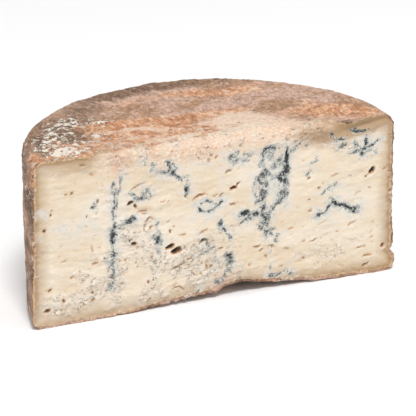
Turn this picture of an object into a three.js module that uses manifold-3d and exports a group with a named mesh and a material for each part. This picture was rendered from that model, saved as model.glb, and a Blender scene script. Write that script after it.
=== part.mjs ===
// Half of a cylindrical blue cheese wheel, cut straight down through its axis.
//
// Frame: millimetres, +Z up. The origin is on the base plane, at the middle of the half
// wheel's footprint. X runs along the cut face, which looks towards -Y, and the round
// side looks towards +Y. The wheel's own axis is upright and lies in the cut face.

import * as THREE from "three";
import { mergeVertices } from "three/addons/utils/BufferGeometryUtils.js";
import Module from "manifold-3d";

const wasm = await Module();
wasm.setup();

// ---- Driving dimensions -------------------------------------------------------------

const WHEEL_RADIUS = 150; // widest, just above the base
const WHEEL_HEIGHT = 133; // at the rim of the top face
const SIDE_LEAN = 3.5; // how much narrower the wheel is at its top shoulder than at its base
const TOP_SHOULDER = 11; // rounding between the side and the top
const BASE_SHOULDER = 5; // rounding between the side and the base
const TOP_DISH = 1.5; // how far the middle of the top has sunk below its rim

const SEGMENTS_AROUND = 120; // facets around the whole wheel
const SEGMENTS_SHOULDER = 7; // facets across each shoulder
const SEGMENTS_TOP = 8; // facets from the top shoulder to the axis
const CUTTER_MARGIN = 10; // how far the cutting block reaches past the wheel

const CHEESE_COLOUR = 0xe6d3b6;
const CHEESE_ROUGHNESS = 0.65;

// ---- Values that follow from them ---------------------------------------------------

const QUARTER_TURN = Math.PI / 2;
const TOP_RADIUS = WHEEL_RADIUS - SIDE_LEAN;
const CUT_FACE_Y = -WHEEL_RADIUS / 2;

// ---- Geometry helpers ---------------------------------------------------------------

// A closed three.js geometry as a solid, with its shared vertices merged.
function toSolid(geometry) {
  geometry.deleteAttribute("normal");
  geometry.deleteAttribute("uv");
  const merged = mergeVertices(geometry);
  return new wasm.Manifold(
    new wasm.Mesh({
      numProp: 3,
      vertProperties: new Float32Array(merged.attributes.position.array),
      triVerts: new Uint32Array(merged.index.array),
    }),
  );
}

// A solid's surface as a three.js geometry.
function toGeometry(solid) {
  const mesh = solid.getMesh();
  const geometry = new THREE.BufferGeometry();
  geometry.setAttribute("position", new THREE.BufferAttribute(mesh.vertProperties, mesh.numProp));
  geometry.setIndex(new THREE.BufferAttribute(mesh.triVerts, 1));
  geometry.computeVertexNormals();
  return geometry;
}

// ---- The wheel ----------------------------------------------------------------------

// Half of the wheel's upright section, from the axis at the base, out along the base,
// up the leaning side and back to the axis over the dished top.
function wheelProfile() {
  const baseFlat = WHEEL_RADIUS - BASE_SHOULDER;
  const topFlat = TOP_RADIUS - TOP_SHOULDER;
  const baseArc = new THREE.EllipseCurve(
    baseFlat, BASE_SHOULDER, BASE_SHOULDER, BASE_SHOULDER, -QUARTER_TURN, 0,
  );
  const topArc = new THREE.EllipseCurve(
    topFlat, WHEEL_HEIGHT - TOP_SHOULDER, TOP_SHOULDER, TOP_SHOULDER, 0, QUARTER_TURN,
  );
  const dish = new THREE.QuadraticBezierCurve(
    new THREE.Vector2(topFlat, WHEEL_HEIGHT),
    new THREE.Vector2(topFlat / 2, WHEEL_HEIGHT - TOP_DISH),
    new THREE.Vector2(0, WHEEL_HEIGHT - TOP_DISH),
  );
  return [
    new THREE.Vector2(0, 0),
    ...baseArc.getPoints(SEGMENTS_SHOULDER),
    ...topArc.getPoints(SEGMENTS_SHOULDER),
    ...dish.getPoints(SEGMENTS_TOP).slice(1),
  ];
}

// The whole wheel, turned about the upright axis.
function wholeWheel() {
  const wheel = new THREE.LatheGeometry(wheelProfile(), SEGMENTS_AROUND);
  wheel.rotateX(QUARTER_TURN);
  return toSolid(wheel);
}

// The half that is taken away: a block in front of the plane through the axis.
function takenHalf() {
  const width = 2 * (WHEEL_RADIUS + CUTTER_MARGIN);
  const depth = WHEEL_RADIUS + CUTTER_MARGIN;
  const height = WHEEL_HEIGHT + 2 * CUTTER_MARGIN;
  const block = new THREE.BoxGeometry(width, depth, height);
  block.translate(0, -depth / 2, WHEEL_HEIGHT / 2);
  return toSolid(block);
}

// The half wheel, moved so that its footprint is centred on the origin.
function halfWheel() {
  const half = toGeometry(wholeWheel().subtract(takenHalf()));
  half.translate(0, CUT_FACE_Y, 0);
  return half;
}

// ---- The part -----------------------------------------------------------------------

const cheese = new THREE.Mesh(
  halfWheel(),
  new THREE.MeshStandardMaterial({
    color: CHEESE_COLOUR,
    roughness: CHEESE_ROUGHNESS,
    metalness: 0,
  }),
);
cheese.name = "cheese_half_wheel";

const part = new THREE.Group();
part.add(cheese);

export default part;
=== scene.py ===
"""Half of a round blue cheese: cream paste with blue veins, in a dry brown and orange rind.

Lengths are in millimetres while a shape is worked out, and become metres when its mesh is
made. On the cut face, x runs from its middle and z from its base. On the top, x runs from the
middle of the cut edge and depth runs back from it.
"""

import math

import bpy
import numpy as np
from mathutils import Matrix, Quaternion, Vector


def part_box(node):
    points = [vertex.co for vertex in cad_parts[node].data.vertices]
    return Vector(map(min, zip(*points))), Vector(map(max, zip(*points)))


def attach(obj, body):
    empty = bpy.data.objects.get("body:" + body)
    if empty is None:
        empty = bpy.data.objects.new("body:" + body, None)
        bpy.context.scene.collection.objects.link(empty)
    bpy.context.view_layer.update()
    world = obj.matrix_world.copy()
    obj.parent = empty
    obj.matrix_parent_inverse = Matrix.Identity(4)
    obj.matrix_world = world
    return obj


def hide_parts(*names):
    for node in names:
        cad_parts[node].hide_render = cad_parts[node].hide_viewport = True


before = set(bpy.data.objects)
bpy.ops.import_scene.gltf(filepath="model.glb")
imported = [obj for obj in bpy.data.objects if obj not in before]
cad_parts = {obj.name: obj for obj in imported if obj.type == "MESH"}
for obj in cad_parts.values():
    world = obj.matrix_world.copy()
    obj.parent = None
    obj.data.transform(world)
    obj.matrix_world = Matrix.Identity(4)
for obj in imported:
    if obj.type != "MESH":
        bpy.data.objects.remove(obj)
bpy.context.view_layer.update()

# ---- Sizes ----

MM = 0.001
NODE = "cheese_half_wheel"
LOW, HIGH = (np.array(corner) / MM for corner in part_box(NODE))
RADIUS = (HIGH[0] - LOW[0]) / 2
HEIGHT = HIGH[2]
CUT_Y = LOW[1]
SIDE_LEAN = 3.5  # how much narrower the wheel is at its top shoulder than at its base
TOP_DISH = 1.5  # how far the middle of the top has sunk below its rim
QUARTER = math.pi / 2

# Cells of the mesh. The side has one row for every two of the cut face.
CELLS_ALONG = 320
CELLS_UP = 132
CELLS_BACK = 52
SIDE_ROWS = CELLS_UP // 2
CELLS_AROUND = CELLS_ALONG + 2 * CELLS_BACK
ROWS_BASE_SHOULDER = 4
ROWS_TOP_SHOULDER = 8
TOP_CORNER = math.radians(38)  # where the top's grid turns its back corners
BASE_MIDDLE = 0.45  # where the base's rings meet, behind the cut, as a share of the radius
BASE_RINGS = [0, 1.2, 2.6, 4.2, 6.5, 10, 16, 25, 38, 54]  # inward from the base's outline


# ---- Noise ----

SLOPES = np.array(
    [(a, b, 0) for a in (1, -1) for b in (1, -1)]
    + [(a, 0, b) for a in (1, -1) for b in (1, -1)]
    + [(0, a, b) for a in (1, -1) for b in (1, -1)],
    float,
)


def lattice(cell, seed):
    """A repeatable number for each lattice point: its integers, multiplied by large odd
    numbers and mixed bit by bit."""
    c = cell.astype(np.uint32)
    n = c[:, 0] * np.uint32(73856093) ^ c[:, 1] * np.uint32(19349663)
    n = n ^ c[:, 2] * np.uint32(83492791) ^ np.uint32(seed * 7919 + 17)
    for shift in (15, 12, 15):
        n = (n ^ (n >> np.uint32(shift))) * np.uint32(0x2C1B3C6D)
    return n ^ (n >> np.uint32(13))


def noise(p, seed=0):
    """Gradient noise, about -1 to 1. Each lattice corner holds one of twelve slopes, and the
    eight around a point are blended by the fade 6t^5 - 15t^4 + 10t^3."""
    cell = np.floor(p)
    t = p - cell
    cell = cell.astype(np.int64)
    fade = t**3 * (t * (t * 6 - 15) + 10)
    total = np.zeros(len(p))
    for corner in np.ndindex(2, 2, 2):
        c = np.array(corner)
        slope = SLOPES[lattice(cell + c, seed) % 12]
        weight = np.where(c, fade, 1 - fade).prod(1)
        total += weight * (slope * (t - c)).sum(1)
    return total


def cloud(p, size, octaves=3, seed=0):
    """Octaves of noise, each half as wide and half as strong as the last. The largest lumps
    are size mm wide."""
    q = p / np.array(size, float)
    total = np.zeros(len(p))
    for k in range(octaves):
        total += noise(q * 2**k + 37.3 * k, seed + k) / 2**k
    return total


def creases(p, size, octaves=2, seed=0):
    """1 along thin winding lines and falling to 0 between them: one minus the size of the
    noise."""
    return 1 - np.clip(np.abs(cloud(p, size, octaves, seed)) * 2.5, 0, 1)


def smooth(low, high, value):
    """0 below low, 1 above high and the fade 3t^2 - 2t^3 between them."""
    t = np.clip((value - low) / (high - low), 0, 1)
    return t * t * (3 - 2 * t)


def through(x, points):
    """The value at x of the broken line through (x, value) points."""
    places, values = zip(*points)
    return np.interp(x, places, values)


# ---- The plain form of the half wheel ----


def top_shoulder(phi):
    """The radius of the rounding above the side at each angle, which is 0 at the cut's right
    end."""
    worn = [(0, 12.5), (12, 9), (30, 5), (60, 5), (90, 6.5), (135, 9), (165, 8), (180, 6.5)]
    return through(np.degrees(phi), worn)


def base_shoulder(phi):
    """The radius of the rounding below the side: 8 mm at the left end, 6 mm at the right."""
    return 7 - np.cos(phi)


def top_level(r, phi):
    """Height of the top at radius r: a shallow bowl, then the shoulder's circular fall."""
    round_by = top_shoulder(phi)
    flat = RADIUS - SIDE_LEAN - round_by
    over = np.clip((r - flat) / round_by, 0, 1)
    bowl = TOP_DISH * (1 - np.clip(r / flat, 0, 1) ** 2)
    return HEIGHT - bowl - round_by * (1 - np.sqrt(1 - over**2))


def base_level(r, phi):
    """Height of the underside at radius r: flat, then the shoulder's circular rise."""
    round_by = base_shoulder(phi)
    over = np.clip((r - (RADIUS - round_by)) / round_by, 0, 1)
    return round_by * (1 - np.sqrt(1 - over**2))


def side_profile(t, phi):
    """Radius and height on the side, for t from 0 halfway round the base shoulder to 1
    halfway round the top one: an arc, a straight leaning side and another arc."""
    low, high = base_shoulder(phi), top_shoulder(phi)
    first = ROWS_BASE_SHOULDER / SIDE_ROWS
    last = 1 - ROWS_TOP_SHOULDER / SIDE_ROWS
    under = (np.clip(t / first, 0, 1) - 1) * QUARTER / 2
    over = np.clip((t - last) / (1 - last), 0, 1) * QUARTER / 2
    up = np.clip((t - first) / (last - first), 0, 1)
    r = RADIUS - SIDE_LEAN * up - low * (1 - np.cos(under)) - high * (1 - np.cos(over))
    z = low * (1 + np.sin(under)) + up * (HEIGHT - low - high) + high * np.sin(over)
    return r, z


def around():
    """The angle of each column of the side, from the cut's left end to its right one, spaced
    as the top's outline is."""
    end = np.linspace(0, TOP_CORNER, CELLS_BACK + 1)
    back = np.linspace(math.pi - TOP_CORNER, TOP_CORNER, CELLS_ALONG + 1)
    return np.concatenate([math.pi - end, back[1:], end[::-1][1:]])


def coons(bottom, top, left, right):
    """The grid between four edges: the two straight blends between facing edges, less the
    blend of the four corners."""
    u = np.linspace(0, 1, len(bottom))[None, :, None]
    v = np.linspace(0, 1, len(left))[:, None, None]
    across = (1 - v) * bottom[None] + v * top[None]
    along = (1 - u) * left[:, None] + u * right[:, None]
    low = (1 - u) * bottom[0] + u * bottom[-1]
    high = (1 - u) * top[0] + u * top[-1]
    return across + along - (1 - v) * low - v * high


def cut_softness(x):
    """How far the cut's top edge is rounded: crisp at both ends and worn in the middle."""
    worn = [(-100, 0.8), (-60, 4), (-30, 8), (0, 12), (60, 12), (88, 9), (104, 2), (120, 1)]
    return through(x, worn)


def round_the_cut(front, top):
    """Rounds the cut's top edge by its softness. The edge moves to the middle of a quarter circle,
    and each patch's rows spread over its own half of it."""
    crest = front[-1, :, 2]
    radius = cut_softness(front[-1, :, 0])
    below = crest - front[..., 2]
    turn = QUARTER / 2 * (1 + np.clip(below / radius, 0, 1))
    near = below < radius
    front[..., 1] += np.where(near, radius * (1 - np.sin(turn)), 0)
    front[..., 2] = np.where(near, crest - radius * (1 - np.cos(turn)), front[..., 2])
    radius = cut_softness(top[..., 0])
    behind = top[..., 1] - CUT_Y
    turn = QUARTER / 2 * (1 - np.clip(behind / radius, 0, 1))
    near = behind < radius
    top[..., 1] = np.where(near, CUT_Y + radius * (1 - np.sin(turn)), top[..., 1])
    top[..., 2] -= np.where(near, radius * (1 - np.cos(turn)), 0)


def on_wheel(r, angle, z):
    """Points at these radii, angles and heights round the wheel's upright axis."""
    return np.stack([r * np.cos(angle), CUT_Y + r * np.sin(angle), z], -1)


def plain_form():
    """The four patches as grids of points: the cut face, the top, the side and the base."""
    phi = around()
    r, z = side_profile(np.linspace(0, 1, SIDE_ROWS + 1)[:, None], phi[None])
    side = on_wheel(r, phi, z)

    unit = np.stack([np.cos(phi), np.sin(phi)], -1)
    chord = np.stack([np.linspace(-1, 1, CELLS_ALONG + 1), np.zeros(CELLS_ALONG + 1)], -1)
    disc = coons(
        chord,
        unit[CELLS_BACK : CELLS_BACK + CELLS_ALONG + 1],
        unit[: CELLS_BACK + 1],
        unit[::-1][: CELLS_BACK + 1],
    )
    angle = np.arctan2(disc[..., 1], disc[..., 0])
    rim = side_profile(1.0, angle)[0]
    r = np.hypot(disc[..., 0], disc[..., 1]) * rim
    top = on_wheel(r, angle, top_level(r, angle))

    fine = np.linspace(0, 1, CELLS_UP + 1)
    ends = []
    for sign, angle in ((-1, math.pi), (1, 0.0)):
        r, z = side_profile(fine, angle)
        ends.append(np.stack([sign * r, np.full_like(r, CUT_Y), z], -1))
    x = np.linspace(ends[0][0, 0], ends[1][0, 0], CELLS_ALONG + 1)
    foot = base_level(np.abs(x), np.where(x < 0, math.pi, 0))
    bottom = np.stack([x, np.full_like(x, CUT_Y), foot], -1)
    front = coons(bottom, top[0], *ends)
    round_the_cut(front, top)
    side[:, 0], side[:, -1] = front[::2, 0], front[::2, -1]
    side[-1] = rim_of(top)

    outline = np.concatenate([front[0, :-1], side[0, :0:-1]])
    middle = np.array([0, CUT_Y + RADIUS * BASE_MIDDLE, 0])
    inward = (middle - outline)[:, :2]
    far = np.linalg.norm(inward, axis=1)
    base = outline[None, :, :2] + np.array(BASE_RINGS)[:, None, None] * (inward / far[:, None])
    r = np.hypot(base[..., 0], base[..., 1] - CUT_Y)
    angle = np.arctan2(base[..., 1] - CUT_Y, base[..., 0])
    base = np.dstack([base, base_level(r, angle)])
    return front, top, side, base, middle


def rim_of(grid):
    """The left, back and right edges of the top's grid, in the order of the side's columns."""
    return np.concatenate([grid[:, 0], grid[-1, 1:], grid[:-1, -1][::-1]])


# ---- One closed mesh from the patches ----


def number_patches():
    """Vertex numbers for each patch, with those on shared edges used by both neighbours."""
    front = np.arange((CELLS_UP + 1) * (CELLS_ALONG + 1)).reshape(CELLS_UP + 1, -1)
    count = front.size
    top = count + np.arange((CELLS_BACK + 1) * (CELLS_ALONG + 1)).reshape(CELLS_BACK + 1, -1)
    top -= CELLS_ALONG + 1
    top[0] = front[-1]
    count = top.max() + 1
    inner = count + np.arange(SIDE_ROWS * (CELLS_AROUND - 1)).reshape(SIDE_ROWS, -1)
    side = np.empty((SIDE_ROWS + 1, CELLS_AROUND + 1), int)
    side[:-1, 1:-1] = inner
    side[:, 0], side[:, -1] = front[::2, 0], front[::2, -1]
    side[-1] = rim_of(top)
    count = inner.max() + 1
    around_base = CELLS_ALONG + CELLS_AROUND
    rings = len(BASE_RINGS)
    base = count - around_base + np.arange(rings * around_base).reshape(rings, -1)
    base[0] = np.concatenate([front[0, :-1], side[0, :0:-1]])
    middle = base.max() + 1
    return front, top, side, base, middle


def cells(shape, wrap=False):
    """The four corners of each cell of a grid, as places in the flattened grid. wrap joins the
    last column to the first."""
    rows, columns = shape
    j, i = np.meshgrid(np.arange(rows - 1), np.arange(columns - (not wrap)), indexing="ij")
    after = (i + 1) % columns
    corners = [j * columns + i, j * columns + after, (j + 1) * columns + after, (j + 1) * columns + i]
    return np.stack(corners, -1).reshape(-1, 4)


def side_faces(front, side, uv):
    """The side's cells. Those that touch the cut have a fifth vertex halfway up their edge,
    and are split into three triangles."""
    quads = cells(side.shape)[:, ::-1].reshape(SIDE_ROWS, CELLS_AROUND, 4)
    flat, spots = side.ravel(), uv.reshape(-1, 2)
    faces = [(flat[quads[:, 1:-1].reshape(-1, 4)], spots[quads[:, 1:-1].reshape(-1, 4)])]
    for column, edge, halves in (
        (0, front[1::2, 0], ((0, 4, 3), (4, 1, 2), (4, 2, 3))),
        (-1, front[1::2, -1], ((0, 1, 4), (1, 2, 4), (0, 4, 3))),
    ):
        quad = np.roll(quads[:, column], 1, axis=1)
        at = spots[quad]
        pair = (0, 1) if column == 0 else (2, 3)
        five = np.column_stack([flat[quad], edge])
        five_at = np.concatenate([at, at[:, pair].mean(1, keepdims=True)], 1)
        faces += [(five[:, h], five_at[:, h]) for h in halves]
    return faces


def closed_faces(front, top, side, base, middle, uvs):
    """Every face as (vertex numbers, map places), facing outwards."""
    faces = []
    for ids, uv in ((front, uvs[0]), (top, uvs[1])):
        quads = cells(ids.shape)
        faces.append((ids.ravel()[quads], uv.reshape(-1, 2)[quads]))
    faces += side_faces(front, side, uvs[2])
    quads = cells(base.shape, wrap=True)[:, ::-1]
    faces.append((base.ravel()[quads], uvs[3].reshape(-1, 2)[quads]))
    last, last_uv = base[-1], uvs[3][-1]
    fan = np.column_stack([np.roll(last, -1), last, np.full_like(last, middle)])
    centre = np.broadcast_to(last_uv.mean(0), last_uv.shape)
    faces.append((fan, np.stack([np.roll(last_uv, -1, 0), last_uv, centre], 1)))
    return faces


def map_places(front, top, side, base):
    """Where each patch lies on the piece's map: the cut face along the top, then the top and
    the base side by side, then the side unrolled."""
    def plan(grid, left, bottom, scale):
        return np.stack(
            [left + (grid[..., 0] + RADIUS) * scale, bottom + (grid[..., 1] - CUT_Y) * scale], -1
        )

    face_scale = 0.98 / (2 * RADIUS)
    rows = np.linspace(0, 1, front.shape[0])[:, None]
    face = np.stack([0.01 + (front[..., 0] + RADIUS) * face_scale,
                     0.545 + 0 * front[..., 0] + rows * HEIGHT * face_scale], -1)
    u = np.linspace(0.01, 0.83, side.shape[1])[None, :] + np.zeros(side.shape[:2])
    v = np.linspace(0.01, 0.235, side.shape[0])[:, None] + np.zeros(side.shape[:2])
    return (
        face,
        plan(top, 0.01, 0.25, 0.57 / (2 * RADIUS)),
        np.stack([u, v], -1),
        plan(base, 0.62, 0.25, 0.36 / (2 * RADIUS)),
    )


def outward(points, faces):
    """Each vertex's outward direction: the mean of its faces' normals, weighted by area."""
    total = np.zeros_like(points)
    for ids, _ in faces:
        first, second = (0, 1, 2), (0, 2, 3)
        for corner in (first, second)[: ids.shape[1] - 2]:
            a, b, c = (points[ids[:, k]] for k in corner)
            normal = np.cross(b - a, c - a)
            for k in range(ids.shape[1]):
                for axis in range(3):
                    total[:, axis] += np.bincount(ids[:, k], normal[:, axis], len(points))
    return total / np.maximum(np.linalg.norm(total, axis=1, keepdims=True), 1e-9)


# ---- What grows and opens on the cut face ----

# Veins of blue mould: (width, darkness, then the x and z of each point). Most follow the
# channels that piercing needles left.
VEINS = [
    # the left channel, its node and its branch
    (1.2, 0.75, -84, 108, -84, 96, -85, 86, -84, 76),
    (0.9, 0.55, -78, 113, -80, 102, -82, 90, -82, 80), (2.6, 0.98, -85, 74, -85, 68, -86, 60),
    (2.2, 0.85, -84, 70, -77, 74, -68, 77), (1.7, 0.85, -85, 60, -85, 52, -86, 43),
    (3, 0.5, -86, 43, -87, 34, -88, 25),
    # the second channel
    (2.2, 0.45, -50, 70, -50, 60, -51, 47), (1.8, 0.85, -50, 60, -49, 54),
    (1.8, 0.35, -51, 47, -52, 36, -54, 27),
    # the bowed vein between them
    (1.6, 0.75, -73, 99, -67, 94, -60, 93, -56, 98), (2.6, 0.45, -60, 95, -56, 99, -54, 93),
    # the clusters left of the middle
    (1.7, 0.95, -41, 119, -39, 113), (1.2, 0.8, -37, 117, -34, 113, -36, 110),
    (2, 0.95, -37, 110, -33, 105), (1.4, 0.6, -48, 113, -43, 110, -40, 112),
    (2.2, 0.42, -59, 121, -55, 115, -52, 118), (1.6, 0.5, -31, 103, -26, 104, -23, 99),
    (1.3, 0.8, -27, 96, -26, 91), (1.3, 0.6, -101, 95, -99, 91, -102, 91),
    (0.8, 1.2, -18, 81, -15, 75, -9, 74, -2, 77, 3, 81), (0.6, 1.1, -18, 81, -10, 82, -3, 79),
    # the blue smear under the worn edge
    (2.4, 0.62, 10, 114, 16, 119), (2.2, 0.65, 21, 116, 27, 115),
    (2.6, 0.42, 8, 110, 16, 112, 24, 111),
    # the main vein: two stems, their links and its arms
    (1.3, 0.85, 34, 112, 38, 117, 46, 118), (4.4, 0.4, 36, 110, 46, 109, 54, 107),
    (1.2, 0.75, 38, 104, 45, 103, 52, 107), (3, 0.84, 36, 112, 37, 105, 40, 99),
    (4.8, 0.72, 34, 92, 35, 80), (2.2, 0.8, 37, 98, 32, 91, 30, 83, 33, 76),
    (2.4, 0.8, 38, 96, 40, 88, 38, 79, 37, 70), (3.4, 0.86, 37, 72, 38, 62, 38, 54),
    (3.4, 0.9, 39, 56, 42, 49), (1.3, 1.3, 58, 117, 57, 108, 56, 103),
    (2.8, 0.95, 57, 104, 56, 97, 52, 90), (1.6, 0.85, 44, 93, 50, 92, 56, 95),
    (3.4, 0.78, 53, 89, 54, 80, 51, 73), (2.4, 0.78, 52, 76, 46, 69, 41, 63),
    (1.8, 0.65, 39, 100, 46, 102, 54, 104), (1.6, 0.55, 58, 112, 64, 114, 69, 119, 74, 115),
    (1.8, 1.15, 16, 66, 21, 69, 28, 66, 34, 67), (1.8, 0.75, 17, 59, 22, 62, 29, 64),
    # below the middle
    (2, 0.85, 2, 63, 4, 58, 9, 50), (1.6, 0.6, -14, 52, -10, 50, -8, 46),
    (1.8, 0.45, -18, 40, -10, 42, -4, 44), (2.4, 0.85, 8, 35, 10, 28),
    (2.4, 0.6, 8, 26, 5, 19, 0, 14), (2, 0.7, 48, 44, 48, 41), (2, 0.78, 44, 11, 52, 11, 62, 12),
    (1, 0.5, 46, 38, 43, 28, 44, 18), (1, 0.5, -24, 8, -16, 9),
    # right of the middle
    (1.4, 1.3, 84, 57, 90, 59, 96, 66), (2, 1.25, 96, 66, 103, 62, 110, 59, 117, 57),
    (0.9, 0.6, 85, 74, 92, 78, 99, 81), (1, 0.95, 113, 104, 121, 107, 129, 108, 136, 112),
    (1.8, 1, 125, 117, 124, 109, 123, 102), (1.5, 0.7, 114, 112, 118, 108),
    (1.5, 0.75, 127, 104, 133, 102), (1.1, 1.2, 112, 122, 119, 121, 127, 121),
    (1.4, 1, 95, 121, 98, 117, 106, 117), (1.7, 0.75, 103, 109, 106, 112),
    (1.7, 0.7, 78, 100, 82, 103), (1.3, 0.65, 75, 92, 79, 94),
]

# Soft spots of the cut face: (x, z, reach along, reach across, tilt in degrees, strength).
# The first ones have a pale blue or milky haze.
HAZE = [
    (-45, 109, 22, 12, -10, 0.5), (92, 77, 11, 4, 20, 0.7), (45, 88, 8, 14, 0, 0.6),
    (126, 110, 16, 8, 0, 0.4), (-66, 97, 14, 6, 0, 0.5), (-100, 92, 6, 5, 0, 0.6),
    (-86, 34, 7, 12, 0, 0.6), (-52, 40, 6, 16, 0, 0.4), (-8, 44, 16, 7, 20, 0.4),
    (-140, 92, 9, 8, 0, 0.4), (18, 112, 20, 7, 0, 0.8), (0, 26, 9, 10, 0, 0.7),
    (-114, 76, 26, 14, 0, 0.5), (47, 100, 16, 18, 0, 0.6), (52, 74, 8, 9, 0, 0.7),
    (100, 76, 9, 4, 20, 0.6), (34, 58, 12, 10, 0, 0.4),
]
CRUMBLY = [
    (-86, 34, 30, 22, 14, 1), (-108, 24, 32, 14, 14, 1.2), (-58, 24, 12, 20, 0, 0.9),
    (-24, 28, 26, 14, 20, 0.9), (-64, 66, 18, 14, 0, 0.8), (-12, 44, 22, 18, 20, 1),
    (12, 20, 22, 10, 0, 0.6), (42, 56, 12, 18, 0, 0.5), (96, 26, 40, 12, 8, 0.5),
    (-90, 94, 10, 16, 0, 0.5), (116, 108, 18, 12, 0, 0.4), (-76, 118, 10, 12, 0, 0.6),
    (78, 120, 18, 10, -10, 0.9), (20, 126, 60, 6, 0, 0.5),
]
HOLLOWS = [
    (86, 114, 13, 8, -20, 3.4), (122, 125, 20, 2.4, 10, 2.4), (105, 117, 6, 4, 30, -1.4),
    (-66, 84, 12, 4, 10, 1.2),
]
# Where the paste turns tan near the rind: partly its own tint, partly painted shade under the rind's
# lip.
TAN_RIM_AND_SHADE = [
    (-120, HEIGHT, 52, 34, 0, 1.2), (125, HEIGHT, 34, 40, 0, 0.9), (142, 5, 36, 11, 0, 0.6),
]
# Painted shade: tan in the groove under the right end of the top edge, over the hollows and under the
# rind's lip at the top left.
SHADED = [
    (120, 125, 24, 6.5, 7, 1.9), (80, 128, 22, 9, 0, 0.3), (84, 117, 20, 10, -20, 0.5),
    (-112, 124, 34, 9, 0, 0.5), (-60, 84, 10, 4, 0, 0.4),
]
PINK = [
    (-80, 122, 5, 12, 0, 1), (2, 12, 10, 8, 30, 0.8), (-30, 126, 50, 9, 0, 0.4),
    (60, 124, 40, 8, 0, 0.4),
]

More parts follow.
